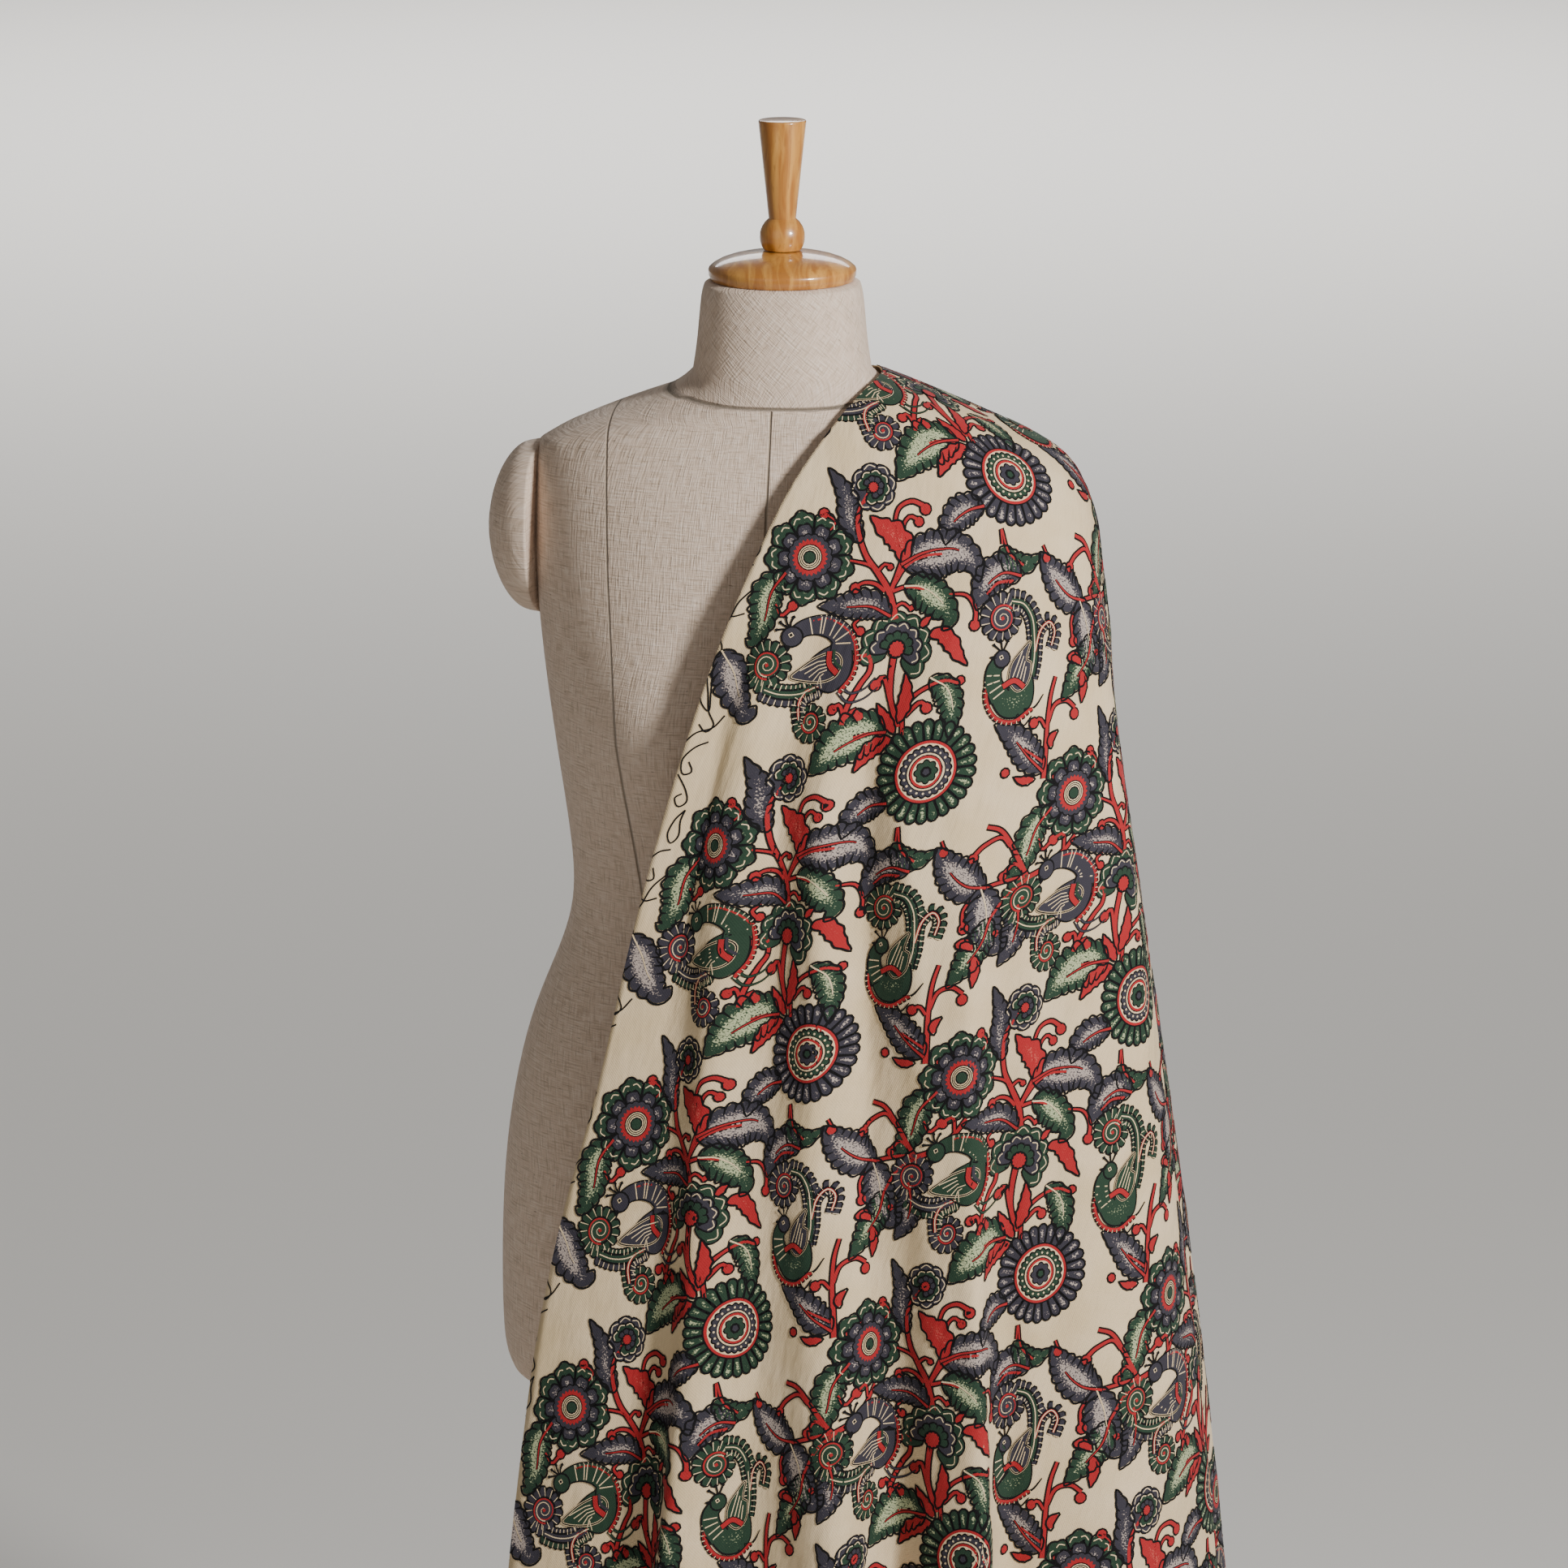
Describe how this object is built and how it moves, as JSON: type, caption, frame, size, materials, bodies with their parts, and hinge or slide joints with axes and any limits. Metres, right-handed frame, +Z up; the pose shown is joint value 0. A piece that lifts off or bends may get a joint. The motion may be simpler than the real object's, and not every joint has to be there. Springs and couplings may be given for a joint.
{
  "type": "kalamkari fabric draped on a dress form",
  "caption": "Length of kalamkari-printed cotton hung over one shoulder of a linen dress form with turned wood cap, pole and round base.",
  "frame": {"origin": "on the floor, where the pole's axis meets it, at the middle of the base's flat underside", "axes": "+Z up along the pole, -Y towards the form's front, +X towards the shoulder that the cloth hangs over"},
  "size_m": [0.5408, 0.4609, 1.5976],
  "materials": {
    "printed_cotton": "plain weave, printed",
    "linen": "plain weave, unprinted",
    "varnished_beech": "glossy varnish"
  },
  "bodies": {
    "root": {"cloth": "printed_cotton", "torso": "linen", "arm_stub_left": "linen", "arm_stub_right": "linen", "neck_cap": "varnished_beech", "finial": "varnished_beech", "collar": "varnished_beech", "pole": "varnished_beech", "base": "varnished_beech"}
  },
  "joints": []
}
